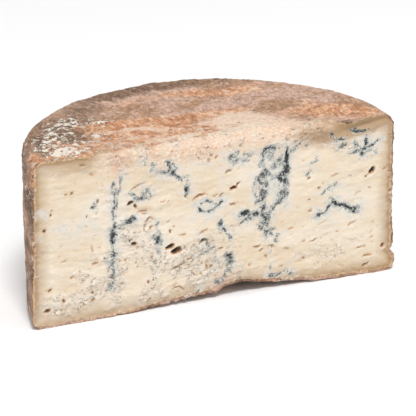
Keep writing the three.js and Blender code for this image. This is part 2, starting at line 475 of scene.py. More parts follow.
# Open pockets and tears: (x, z, half length, half height, tilt in degrees, depth, darkness,
# bend). A bend lifts both ends by that many mm. Darkness and bend are 0 where left out.
OPENINGS = [
    # pockets with black mould inside
    (-40, 50, 3.6, 1.5, 18, 3.6, 1), (-35, 46, 4, 2.1, 18, 4.5, 1), (-71, 90, 3, 1.2, 20, 3, 1),
    (-67, 87, 1, 1.8, 10, 2.4, 1), (-26, 94, 1.7, 2, 60, 3, 1), (-27, 89, 1.3, 1.3, 0, 2, 0.7),
    (12, 90, 3.2, 1.1, 20, 2.6, 1), (16, 93, 1.6, 1, 50, 2.2, 1), (130, 87, 3.2, 1.8, 48, 3.5, 1),
    (125, 83, 2.6, 0.7, 20, 1.5, 0.8), (57, 111, 1.1, 4.2, -6, 2.5, 1),
    (-139, 78, 1.4, 1.2, 60, 2, 0.9), (-134, 90, 0.9, 1.6, 0, 1.2, 0.8),
    (-133, 94, 0.7, 0.9, 0, 1, 0.6), (-106, 85, 0.9, 0.9, 0, 1.2, 0.8),
    (-107, 77, 0.9, 0.7, 30, 1, 0.7), (-117, 85, 0.6, 0.6, 0, 0.8, 0.5),
    (-97, 95, 1, 1.8, -20, 1.4, 0.8), (-101, 91, 2.4, 1, 0, 1.4, 0.5),
    (-13, 51, 3.6, 1.2, 20, 2.6, 0.9, -2.2), (-69, 57, 2.4, 1.3, -10, 2.5, 0.8),
    (-72, 60, 1, 1.8, 20, 1.6, 0.6), (9, 35, 2.4, 1, 10, 2.6, 0.9),
    (-4, 75, 2.4, 0.8, 10, 1.2, 0.6), (-40, 63, 0.9, 1.7, 0, 1.8, 0.9),
    (-37, 66, 0.8, 0.8, 0, 1.2, 0.5), (-103, 23, 1, 1.3, -40, 1.6, 0.7),
    (-139, 14, 2.4, 1.2, 10, 2.5, 0.55), (126, 8, 3, 0.8, 22, 2, 0.6),
    (-76, 45, 1.2, 0.8, 30, 1.2, 0.5),
    # brown tears and pinholes
    (-126, 20, 1.4, 1.1, 0, 2, 0.1), (-137, 30, 2.6, 0.8, 8, 1.8, 0.1, 1),
    (-122, 105, 2.6, 0.7, -6, 1.6, 0.45, 0.6), (-117, 105, 1.4, 0.8, 20, 1.6, 0.4),
    (-108, 126, 2.8, 0.7, -14, 1.4, 0.3), (-101, 117, 2.4, 0.7, -10, 1, 0, 0.8),
    (-6, 119, 1.2, 1.2, 0, 1.4, 0.1), (-8, 115, 1, 2, 20, 1.2, 0.1), (-2, 117, 1.6, 0.9, 40, 1.2),
    (8, 104, 3.4, 1, 22, 1.8, 0.25), (76, 88, 1.6, 1, 0, 1.8, 0.3), (76, 71, 1.4, 0.8, 0, 1.4, 0.1),
    (77, 61, 1.6, 0.8, 0, 1.4, 0.15), (141, 87, 1.8, 1.2, 30, 1.2, 0.1),
    (141, 22, 1.6, 1.8, 0, 2.6, 0.4), (147, 84, 3, 1, 0, 1.8, 0.1),
    (146, 78, 2.6, 0.8, -10, 1.6, 0.2), (147, 68, 2.8, 1, 8, 2, 0.1),
    (122, 24, 4.4, 0.7, 10, 1.2, 0, -1), (127, 16, 5, 0.8, 6, 1.4, 0, -1),
    (113, 45, 4.5, 0.8, 28, 1), (80, 36, 4, 0.7, 14, 1, 0, 0.6), (72, 22, 1.6, 0.8, 0, 1.2),
    (-85, 66, 0.8, 0.8, 0, 0.8, 0.3), (-62, 82, 4.6, 0.7, 8, 1.4, 0, -1), (-60, 80, 2, 0.7, 0, 1),
    (-76, 64, 4.2, 0.7, 2, 1.6), (-56, 76, 5, 0.8, 16, 1.4, 0, -2), (-60, 69, 0.8, 3, -24, 1.2),
    (-55, 68, 2, 1, 40, 1.4, 0.2), (-16, 88, 6, 1, 18, 1.8, 0, -1.6),
    (-44, 88, 5, 0.6, 4, 0.9, 0, -1.4), (-66, 103, 7, 0.8, 24, 1.4, 0, -1.6),
    (2, 86, 2.6, 0.8, 24, 1.4, 0.15), (-3, 86, 3, 0.6, 0, 1.2, 0.05, 0.8),
    (12, 77, 3.4, 0.8, 0, 1.6, 0.05, 0.8), (-30, 58, 3.4, 0.7, 6, 1.2), (-14, 58, 5, 0.7, 30, 1.2),
    (-28, 48, 1.2, 1, 0, 1.4, 0.4), (-92, 48, 2, 1, -30, 1.6, 0.2),
    (-102, 58, 0.8, 3.4, 10, 1.2, 0.1), (-100, 46, 2.6, 1, 20, 1.4, 0.15),
    (-125, 52, 3, 0.7, 0, 0.9, 0, 0.6), (-128, 57, 1, 0.9, 0, 0.8), (-119, 38, 2, 0.8, 30, 1.2),
    (-110, 33, 1.6, 1, 20, 1.2, 0.1), (-55, 34, 0.8, 3, 30, 1), (-58, 24, 1, 1.8, 0, 1.4, 0.2),
    (-33, 33, 7, 0.9, 22, 1.6, 0.1), (-24, 38, 3.6, 0.8, 10, 1.4, 0.05),
    (-34, 16, 6, 0.6, -6, 1.4, 0, -3.4), (-10, 28, 0.8, 3.4, 16, 1.4),
    (-6, 27, 2, 2.4, 0, 1.2, 0, -1), (26, 24, 1.6, 1.8, 0, 0.8), (32, 38, 3.4, 0.9, 0, 1.4, 0.2, 1),
    (36, 35, 2, 0.9, 30, 1.2), (44, 37, 3.2, 0.8, -20, 1.2), (40, 29, 1, 1.6, 20, 1, 0.1),
    (57, 33, 3, 0.7, -10, 1), (60, 49, 3.4, 0.7, 14, 0.9), (88, 50, 5, 0.6, 16, 0.8),
    (100, 40, 4, 0.6, 10, 0.8), (118, 70, 4, 0.6, 20, 0.7), (128, 73, 1.2, 0.9, -30, 1, 0.1),
    (98, 88, 4.6, 0.6, 18, 0.9, 0.3), (60, 92, 2.6, 0.6, 0, 0.7), (84, 79, 1.4, 1, 0, 1.2, 0.7),
]

SCATTER_SEED = 5
SCATTER_TRIES = 1500  # places where a small opening may be


def along(x, z, points):
    """Distance from each (x, z) to the broken line through points."""
    nearest = np.full(x.shape, np.inf)
    for (x0, z0), (x1, z1) in zip(points, points[1:]):
        dx, dz = x1 - x0, z1 - z0
        t = np.clip(((x - x0) * dx + (z - z0) * dz) / (dx * dx + dz * dz), 0, 1)
        nearest = np.minimum(nearest, np.hypot(x - x0 - t * dx, z - z0 - t * dz))
    return nearest


def turned_to(dx, dz, tilt):
    """The step (dx, dz) in axes that are turned by tilt degrees."""
    c, s = math.cos(math.radians(tilt)), math.sin(math.radians(tilt))
    return dx * c + dz * s, dz * c - dx * s


def blots(x, z, spots):
    """The sum of soft spots. Each is its strength at its centre, and falls as a bell curve over
    one reach along its tilted length and another across it."""
    total = 0
    for at_x, at_z, length, width, tilt, much in spots:
        u, v = turned_to(x - at_x, z - at_z, tilt)
        total = total + much * np.exp(-((u / length) ** 2) - (v / width) ** 2)
    return total


def vein_fields(p):
    """How much of each point is vein and how much is the stain beside one: bell curves of the
    distance to veins whose lines wander and whose widths vary."""
    x = p[:, 0] + 1.5 * cloud(p, 8, 3, seed=11)
    z = p[:, 2] + 1.5 * cloud(p, 8, 3, seed=12)
    swell = np.maximum(1.05 + 1.3 * cloud(p, 8, 3, seed=13), 0.35)
    whole = 0.4 + 0.6 * smooth(-0.35, 0.1, cloud(p, 5, 3, seed=14))
    vein, stain = np.zeros(len(p)), np.zeros(len(p))
    for width, dark, *route in VEINS:
        far = along(x, z, list(zip(route[::2], route[1::2])))
        vein = np.maximum(vein, dark * np.exp(-((far / (width * swell)) ** 2)))
        stain = np.maximum(stain, dark * np.exp(-((far / (width * 1.4 + 4.5)) ** 2)))
    return vein * whole, np.maximum(stain * (0.5 + 0.5 * whole), blots(x, z, HAZE))


def opening_fields(p, openings):
    """The depth, the raised lip and the darkness of the openings. Each is a steep-sided bowl
    exp(-d^4), with a lip along its lower side that is a bell curve around d = 1.5, where d
    is the distance from its bent middle line in half sizes."""
    depth, lip, dark = np.zeros((3, len(p)))
    shift_x, shift_z = 0.7 * cloud(p, 3, 2, seed=21), 0.7 * cloud(p, 3, 2, seed=22)
    for x, z, length, height, tilt, deep, *rest in openings:
        black, bend = (*rest, 0, 0)[:2]
        reach = 2.4 * max(length, height) + 2
        near = np.flatnonzero((np.abs(p[:, 0] - x) < reach) & (np.abs(p[:, 2] - z) < reach))
        u, v = turned_to(p[near, 0] + shift_x[near] - x, p[near, 2] + shift_z[near] - z, tilt)
        u = u / length
        v = (v - bend * u**2) / height
        d = np.hypot(u, v)
        bowl = np.exp(-(d**4))
        rim = np.exp(-(((d - 1.5) / 0.4) ** 2)) * smooth(0.2, -0.6, v / np.maximum(d, 0.1))
        depth[near] = np.maximum(depth[near], deep * bowl)
        lip[near] = np.maximum(lip[near], 0.4 * min(deep, 1.2) * rim)
        dark[near] = np.maximum(dark[near], black * bowl)
    return depth, lip, dark


def crumb_zone(p):
    """Where the paste broke into crumbs instead of being sliced clean, 0 to 1."""
    total = blots(p[:, 0], p[:, 2], CRUMBLY)
    return np.clip(total * (0.85 + 1.4 * cloud(p, 17, 2, seed=24)), 0, 1)


def scattered_openings():
    """Small tears and pinholes at seeded random places, roughly along the knife's way."""
    rng = np.random.default_rng(SCATTER_SEED)
    at = np.zeros((SCATTER_TRIES, 3))
    at[:, 0] = rng.uniform(-142, 143, SCATTER_TRIES)
    at[:, 2] = rng.uniform(6, 124, SCATTER_TRIES)
    crumbs = crumb_zone(at)
    low_right = smooth(20, 60, at[:, 0]) * smooth(62, 40, at[:, 2])
    keep = rng.uniform(0, 1, SCATTER_TRIES) < 0.08 + 0.03 * crumbs + 0.07 * low_right
    x, _, z = at[keep].T
    count = len(x)
    length = rng.uniform(0.7, 1.5, count) * (1 + rng.uniform(0, 1, count) ** 3)
    height = rng.uniform(0.55, 0.95, count)
    tilt = rng.normal(8, 20, count)
    bend = rng.normal(0, 0.5, count)
    deep = rng.uniform(0.3, 0.9, count) * (0.8 + 0.5 * crumbs[keep])
    return np.column_stack([x, z, length, height, tilt, deep, 0 * x, bend]).tolist()


# ---- The rind and the line where it ends ----

# How far the pale paste reaches back over the top, and where negative, how far the rind comes
# down over the cut: (x, mm).
PASTE_REACH = [
    (-150, 0), (-101, 0), (-94, 6), (-72, 9), (-60, 7), (-47, 3), (-36, 8), (-8, 13), (2, 21),
    (40, 22), (52, 16), (66, 9), (80, 5), (93, 3), (101, -2), (106, -4.5), (112, -2), (122, 0),
    (150, 0),
]

RIND_CORNER = 7  # how round the paste's outline is where the rim meets the top edge

# Patches of colour on the rind. Each has the seed of its noise, how much of it grows off the
# top, and its soft spots on the top, with depth for z.
PATCHES = {
    "rust": (51, -0.15, [
        (-44, 38, 56, 24, -4, 1), (-5, 50, 34, 12, -6, 0.9), (96, 28, 34, 18, -24, 0.7),
        (-90, 6, 34, 5, 0, 0.9), (-143, 4, 7, 14, 0, 0.9), (52, 98, 30, 12, 0, 0.6),
        (-66, 62, 24, 10, 10, 0.7), (125, 20, 20, 10, -50, 0.8), (-40, 98, 24, 9, 0, 0.5),
        (-58, 17, 50, 12, 0, 1.3), (20, 108, 40, 9, 0, 0.5), (-12, 26, 30, 10, -20, 0.9),
        (66, 12, 16, 6, 0, 0.6), (30, 56, 20, 8, 0, 0.7), (-110, 4, 20, 4, 0, 1),
    ]),
    "mauve": (61, 0, [
        (22, 72, 27, 13, 8, 1), (-10, 112, 60, 14, 0, 0.8), (86, 76, 30, 15, -30, 0.9),
        (112, 48, 14, 12, -40, 0.7), (-62, 88, 22, 12, 20, 0.7), (-20, 66, 24, 6, 0, 0.6),
    ]),
    "worn": (71, -0.3, [
        (22, 34, 20, 18, 0, 1), (46, 34, 18, 14, -10, 0.8), (52, 14, 20, 12, 0, 0.7),
        (-70, 15, 14, 4, 0, 0.4), (86, 4, 16, 6, 0, 0.7), (-48, 44, 10, 4, 0, 0.6),
        (70, 8, 16, 6, 0, 0.7), (-36, 34, 40, 12, 0, 0.45),
    ]),
    "bloom": (81, 0, [
        (-118, 14, 26, 13, 4, 1), (-112, 42, 26, 14, 8, 0.75), (-98, 72, 26, 14, 24, 0.8),
        (-66, 66, 15, 7, 0, 0.9), (-80, 40, 12, 8, 0, 0.7), (-86, 24, 12, 6, 0, 0.6),
    ]),
    "dull": (91, 0.6, [
        (-108, 40, 46, 42, 0, 1.2), (-60, 104, 40, 18, 30, 0.8), (10, 134, 90, 18, 0, 1),
    ]),
}


def patch_field(p, patches, on_top, seed, elsewhere):
    """Soft patches on the top, and on the rest of the rind clouds that fill more of it the
    higher elsewhere is."""
    wander = 5 * cloud(p, 30, 2, seed)
    total = blots(p[:, 0] + wander, p[:, 1] - CUT_Y - wander, patches)
    broad = smooth(0.3 - elsewhere, 1.4 - elsewhere, 0.5 + 0.9 * cloud(p, (40, 40, 24), 3, seed + 5))
    return np.clip(on_top * total + (1 - on_top) * broad, 0, 1)


def top_softness(x):
    """How gradually the paste turns to rind along the cut's top edge: crisp at both ends."""
    return through(x, [(-104, 0), (-88, 1), (84, 1), (98, 0.3), (107, 0)])


def edge_distance(p, front, top, side, base, middle):
    """How far inside the cut paste each point is, in mm: positive on the paste and negative
    on the rind."""
    edge = np.empty(len(p))
    for ids in (side, base, np.array([middle])):
        edge[ids] = -(p[ids][..., 1] - CUT_Y)
    reach = through(p[:, 0], PASTE_REACH)
    ahead = reach[top] - (p[top][..., 1] - CUT_Y)
    edge[top] = np.where(ahead < 0, ahead * (1 - 0.65 * top_softness(p[top][..., 0])), ahead)
    face = p[front]
    crest = face[-1, :, 2] - face[..., 2]
    left = face[..., 0] - face[:, :1, 0]
    right = face[:, -1:, 0] - face[..., 0]
    foot = face[..., 2] - face[0, :, 2]
    waver = cloud(p[front.ravel()], 7, 3, seed=95).reshape(front.shape)
    beside = np.minimum(left - 1.1, right - 1.2) + 0.9 * waver
    above = crest + reach[front[-1]]
    nearest = np.minimum(beside, above)
    cornered = np.maximum(beside, above) < RIND_CORNER
    turn = np.hypot(RIND_CORNER - beside, RIND_CORNER - above)
    nearest = np.where(cornered, RIND_CORNER - turn, nearest)
    edge[front] = np.minimum(nearest, foot - 2.2 + 0.9 * waver)
    return edge


# ---- Relief ----


def along_the_knife(p):
    """The points sheared upright so that the knife's way becomes level."""
    rise = [(-150, 7), (-95, 1), (-50, 2), (20, 15), (80, 26), (150, 33)]
    drawn = p.copy()
    drawn[:, 2] -= through(p[:, 0], rise)
    return drawn


def terraces(value, step, share):
    """The value in level steps, each joined to the next by a slope over this share of it."""
    level = value / step
    whole = np.floor(level)
    return step * (whole + smooth(1 - share, 1, level - whole))


def broken_crumbs(p, size, seed):
    """Crumbs of a jittered lattice in the plane of the cut. Each has its own height, a
    rounded top, and a gap where the two nearest middles are about as far away. Both results
    are about 0 to 1."""
    q = np.column_stack([p[:, 0] / size[0], p[:, 2] / size[1]])
    q = q + 0.35 * np.column_stack([cloud(p, 5, 2, seed), cloud(p, 5, 2, seed + 1)])
    cell = np.floor(q).astype(np.int64)
    first, second = np.full(len(p), 9.0), np.full(len(p), 9.0)
    height = np.zeros(len(p))
    for step in np.ndindex(3, 3):
        near = np.column_stack([cell + np.array(step) - 1, np.zeros(len(p), np.int64)])
        draw = lattice(near, seed)
        middle = near[:, :2] + np.column_stack([draw & 255, (draw >> np.uint32(8)) & 255]) / 255
        far = np.hypot(*(q - middle).T)
        closer = far < first
        second = np.where(closer, first, np.minimum(second, far))
        height = np.where(closer, ((draw >> np.uint32(16)) & 255) / 255, height)
        first = np.where(closer, far, first)
    return height - 0.5 * first**2, smooth(0.22, 0.0, second - first)


def paste_relief(p, fields):
    """How far the paste stands out: broad waves from the knife, layers that it pulled along
    its way, crumbs, and everything that opens into it."""
    drawn = along_the_knife(p)
    crumbs, edge = fields["crumbs"], fields["edge"]
    waves = 0.8 * cloud(p, 50, 2, seed=31)
    pulled = 0.25 + 0.75 * smooth(-0.1, 0.45, cloud(p, 34, 2, seed=38) + crumbs)
    layers = pulled * terraces(1.5 * cloud(drawn, (24, 10, 8), 3, seed=32), 0.55, 0.35)
    smears = pulled * 0.2 * cloud(drawn, (9, 4, 2.6), 3, seed=33)
    lumps = terraces(1.6 * cloud(drawn, (8, 6, 5.5), 3, seed=34), 0.5, 0.4)
    large, wide_gap = broken_crumbs(drawn, (7.5, 4.6), seed=35)
    small, gap = broken_crumbs(drawn, (3.8, 2.6), seed=40)
    patchy = smooth(-0.2, 0.25, cloud(p, 9, 2, seed=39))
    cracks = patchy * wide_gap + (1 - patchy) * gap
    bits = patchy * 1.1 * large + (1 - patchy) * 0.7 * small
    lace = fields["vein"] * (0.9 * cloud(p, 2.6, 2, seed=36) - 0.5)
    rolled = (0.1 + 1.1 * cloud(p, 5, 2, seed=37)) * np.exp(-(((edge - 0.4) / 1.6) ** 2))
    trough = 0.3 * np.exp(-(((edge - 5) / 4) ** 2))
    out = waves + 0.75 * layers + smears + crumbs * (0.5 * lumps + 0.7 * bits - 0.4 * cracks) + lace
    out += (rolled - trough) * (1 - fields["soft"])
    return out - fields["depth"] + fields["lip"] - blots(p[:, 0], p[:, 2], HOLLOWS)


def rind_relief(p, fields):
    """How far the rind stands out: dents, knobs and skin, roughest where the knife broke
    them, wrinkles, deepest under the bloom, and small pits."""
    torn = 1.1 * cloud(p, (3.4, 3.4, 4), 2, seed=46) * np.exp(-((fields["edge"] / 4) ** 2))
    torn *= 1 - 0.8 * fields["soft"]
    broad = 1.2 * cloud(p, 55, 2, seed=41)
    knobs = 0.5 * cloud(p, (12, 14, 8), 3, seed=42)
    skin = 0.3 * cloud(p, (4, 5, 3), 2, seed=43)
    wrinkles = (0.25 + 0.9 * fields["bloom"]) * creases(p, (10, 6, 5), 2, seed=44) ** 2
    pits = 1.0 * smooth(0.5, 0.8, cloud(p, 6, 1, seed=45))
    return broad + knobs + skin + wrinkles + torn - pits


# How far the base edge of the cut has worn away: (x, mm).
BASE_ARCH = [
    (-120, 0), (-70, 1.5), (-40, 4), (-20, 6.5), (-8, 6.5), (-2, 5.5), (5, 9.5), (16, 12), (26, 11),
    (36, 8.5), (56, 5.5), (80, 2.5), (130, 0),
]


def settle(p):
    """The form's accidents: the base edge of the cut is worn away and arched, and a crease
    runs round the right end just above the base."""
    x, y, z = p.T
    behind = np.maximum(y - CUT_Y, 0)
    arch = through(x, BASE_ARCH)
    p[:, 2] += 0.85 * arch * np.exp(-((z / 24) ** 2) - behind / 34)
    p[:, 1] += 0.5 * arch * np.exp(-((z / 9) ** 2) - behind / 6)
    crease = np.exp(-(((z - 18) / 2.2) ** 2)) * smooth(RADIUS - 12, RADIUS - 1, x)
    bulge = np.exp(-(((z - 9) / 6) ** 2)) * smooth(RADIUS - 20, RADIUS - 2, x)
    p[:, 0] += bulge - 3.2 * crease * np.exp(-behind / 18)
    p[:, 0] += 1.5 * smooth(50, 120, z) * smooth(110, 145, x)
    low_left = smooth(100, 10, z) * smooth(-100, -145, x)
    p[:, 0] += low_left * (2.4 * smooth(0, 30, behind) - 1.4 * np.exp(-behind / 5))
    return p


def softened(grid, passes):
    """A grid smoothed by repeated means of each value and its neighbours to every side."""
    for _ in range(passes):
        wide = np.pad(grid, 1, mode="edge")
        grid = (wide[:-2, 1:-1] + wide[2:, 1:-1] + wide[1:-1, :-2] + wide[1:-1, 2:] + grid) / 5
    return grid


def surface_fields(p, ids):
    """Everything that varies over the surface and that the relief or the finish needs."""
    x, y, z = p.T
    on_front, on_top = np.zeros(len(p)), np.zeros(len(p))
    on_front[ids[0]] = 1
    on_top[ids[1]] = 1
    on_top = np.maximum(on_top, smooth(HEIGHT - 30, HEIGHT, z) * (1 - on_front))
    names = ("vein", "stain", "depth", "lip", "dark", "crumbs")
    openings = opening_fields(p, OPENINGS + scattered_openings())
    values = (*vein_fields(p), *openings, crumb_zone(p))
    fields = {name: value * on_front for name, value in zip(names, values)}
    fields["edge"] = edge_distance(p, *ids)
    fields["soft"] = top_softness(x) * smooth(HEIGHT - 30, HEIGHT - 10, z)
    for name, (seed, elsewhere, patches) in PATCHES.items():
        fields[name] = patch_field(p, patches, on_top, seed, elsewhere)
    at_foot = np.exp(-((z / 7) ** 2) - (np.maximum(y - CUT_Y, 0) / 12) ** 2)
    fields["rust"] = np.maximum(fields["rust"] * (1 - at_foot), 0.25 * at_foot)
    fields["worn"] = np.maximum(fields["worn"], 0.3 * at_foot)
    fields["dull"] *= 1 - at_foot
    # Tan along the cut's ends and foot as well, partly the paste's own tint and partly painted shade.
    sides = smooth(60, 120, np.abs(x)) * smooth(0, 30, z) + 0.7 * smooth(34, 6, z)
    fields["rim_tint_and_shade"] = np.clip(blots(x, z, TAN_RIM_AND_SHADE) + sides, 0, 1)
    fields["shade"] = blots(x, z, SHADED)
    # The stain is left out where shade is painted.
    fields["stain"] *= 1 - 0.85 * np.clip(fields["shade"], 0, 1)
    fields["blush"] = blots(x, z, PINK)
    return fields


def new_object(name, data):
    """A new object in the scene that holds the data."""
    made = bpy.data.objects.new(name, data)
    bpy.context.scene.collection.objects.link(made)
    return made


def make_cheese():
    """The half wheel as one closed mesh: the plain form, its accidents, and the relief of
    paste and rind along the outward direction."""
    front, top, side, base, middle = plain_form()
    ids = number_patches()
    p = np.empty((ids[-1] + 1, 3))
    p[ids[3]], p[ids[2]], p[ids[1]], p[ids[0]], p[ids[4]] = base, side, top, front, middle
    uvs = map_places(front, top, side, base)
    faces = closed_faces(*ids, uvs)
    p = settle(p)
    fields = surface_fields(p, ids)
    blend = 1.5 + 7 * fields["soft"]
    paste = smooth(-blend, blend, fields["edge"])
    relief = paste * paste_relief(p, fields) + (1 - paste) * rind_relief(p, fields)
    crumbly = 0.7 * fields["soft"] * smooth(-0.1, 0.3, cloud(p, 14, 2, seed=25))
    fields["crumbs"] = np.maximum(fields["crumbs"], crumbly)
    # How far the cut face lies below its smoothed relief. The finish paints shade from it into
    # hollows and a highlight onto ridges.
    cavity = np.zeros(len(p))
    cavity[ids[0]] = softened(relief[ids[0]], 8) - relief[ids[0]]
    fields["cavity"] = cavity
    p += relief[:, None] * outward(p, faces)
    p[:, 2] = np.maximum(p[:, 2], 0)

    mesh = bpy.data.meshes.new("cheese_wheel")
    mesh.from_pydata((p * MM).tolist(), [], [f for ids, _ in faces for f in ids.tolist()])
    places = np.concatenate([at.reshape(-1, 2) for _, at in faces])
    mesh.uv_layers.new(name="OFBake").uv.foreach_set("vector", places.astype(np.float32).ravel())
    fields.pop("lip")
    for name, values in fields.items():
        attribute = mesh.attributes.new(name, "FLOAT", "POINT")
        attribute.data.foreach_set("value", values.astype(np.float32))
    mesh.polygons.foreach_set("use_smooth", np.ones(len(mesh.polygons), bool))
    mesh.update()
    return new_object("cheese_wheel", mesh)


# ---- Finish ----


class Recipe:
    """A material's nodes, made by short calls. Sockets are passed from call to call, and
    colour is what has been painted so far."""

    def __init__(self, name):
        self.material = bpy.data.materials.new(name)
        self.material.use_nodes = True
        self.tree = self.material.node_tree
        self.shader = self.tree.nodes["Principled BSDF"]
        self.place = self.add("TexCoord", output="Object")
        self.colour = None

    def add(self, kind, sockets=(), output=0, **settings):
        """A new node's output, once its settings and its sockets' values are in place."""
        node = self.tree.nodes.new("ShaderNode" + kind)
        for name, value in settings.items():
            setattr(node, name, value)
        for key, value in dict(sockets).items():
            self.put(node.inputs[key], value)
        return node.outputs[output]

    def put(self, socket, value):
        if isinstance(value, bpy.types.NodeSocket):
            self.tree.links.new(value, socket)
        else:
            socket.default_value = value

    def finished(self, sockets):
        """The material, once its shader's sockets have their values."""
        for name, value in sockets.items():
            self.put(self.shader.inputs[name], value)
        return self.material

    def field(self, name):
        return self.add("Attribute", output="Fac", attribute_name=name)

    def math(self, operation, *values):
        return self.add("Math", enumerate(values), operation=operation)

    def plus(self, total, *others):
        for other in others:
            total = self.math("ADD", total, other)
        return total

    def times(self, product, *others):
        for other in others:
            product = self.math("MULTIPLY", product, other)
        return product

    def scaled(self, value, by, plus=0.0):
        return self.math("MULTIPLY_ADD", value, by, plus)

    def swing(self, noise, width):
        """Noise from 0 to 1 as a swing of this width about 0."""
        return self.scaled(noise, width, -width / 2)

    def ramp(self, value, low, high, start=0.0, end=1.0):
        numbers = enumerate((value, low, high, start, end))
        return self.add("MapRange", numbers, interpolation_type="SMOOTHSTEP")

    def mix(self, share, a, b, blend="MIX"):
        return self.add("Mix", {0: share, 6: a, 7: b}, 2, data_type="RGBA", blend_type=blend)

    def paint(self, share, colour, blend="MIX"):
        self.colour = self.mix(share, self.colour, colour, blend)

    def turned(self, stretch, tilt=0.0):
        """The place on the piece, turned in the plane of the cut and stretched."""
        turn = (0, math.radians(tilt), 0)
        return self.add("Mapping", {"Vector": self.place, "Rotation": turn, "Scale": stretch})

    def grain(self, size, detail=3.0, roughness=0.55, place=None, distortion=0.0):
        """Noise from 0 to 1 whose lumps are about size mm wide."""
        sockets = {"Vector": place or self.place, "Scale": 1 / (size * MM), "Detail": detail,
                   "Roughness": roughness, "Distortion": distortion}
        return self.add("TexNoise", sockets)

    def warped(self, place, size, amount):
        """The place shifted by noise: lumps about size mm wide, shifts up to about amount."""
        noise = self.add("TexNoise", {"Vector": place, "Scale": 1 / (size * MM)}, "Color")
        shift = {0: noise, 1: (2 * amount * MM,) * 3, 2: place}
        return self.add("VectorMath", shift, operation="MULTIPLY_ADD")

    def cells(self, size, place):
        """Irregular cells about size mm wide: how far a point is from its cell's border, in
        cell sizes, and a number from 0 to 1 that is the cell's own."""
        lattice = {"Vector": place, "Scale": 1 / (size * MM)}
        border = self.add("TexVoronoi", lattice, "Distance", feature="DISTANCE_TO_EDGE")
        own = self.add("TexVoronoi", lattice, "Color", feature="F1")
        return border, self.add("SeparateColor", {0: own})


def tone(red, green, blue):
    """A colour given as 0 to 255 display values, as the linear numbers that shaders use."""
    shown = np.array([red, green, blue]) / 255
    linear = np.where(shown <= 0.04045, shown / 12.92, ((shown + 0.055) / 1.055) ** 2.4)
    return (*linear.tolist(), 1.0)


PASTE_ROUGHNESS = 0.6
RIND_ROUGHNESS = 0.86
KNIFE_TILT = 9  # how far the knife's way rises to the right, in degrees

CREAM = tone(221, 208, 189)
# Also laid as a painted highlight on the ridges of the relief.
CREAM_PALE = tone(229, 219, 206)
CREAM_DEEP = tone(213, 194, 167)
CREAM_WHITE = tone(238, 226, 212)
PEACH = tone(216, 176, 148)
# Laid as the paste's tan near the rind and as dust, and as painted shade in the groove and hollows.
TAN = tone(160, 129, 93)
# Painted shade, laid into the hollows of the relief and the gaps between crumbs.
PAINTED_CREVICE_SHADE = tone(184, 160, 132)
TEAR_ORANGE = tone(198, 152, 110)
TEAR_BROWN = tone(126, 92, 66)
VEIN_BLACK = tone(40, 43, 44)
VEIN_GREY = tone(122, 126, 125)
VEIN_PALE = tone(180, 182, 178)
VEIN_WHITE = tone(222, 226, 222)
STAIN_GREY = tone(210, 206, 198)
BLUSH = tone(196, 144, 126)
RIND_TAUPE = tone(125, 98, 78)
RIND_BROWN = tone(174, 136, 108)
RIND_RUST = tone(216, 162, 122)
RUST_DEEP = tone(192, 134, 96)
RUST_DARK = tone(158, 108, 80)
RIND_MAUVE = tone(200, 166, 147)
RIND_WORN = tone(226, 196, 173)
WORN_PALE = tone(236, 214, 194)
RIND_DARK = tone(98, 74, 56)
RIND_LIP = tone(206, 172, 138)
WHITE_BLOOM = tone(240, 229, 214)


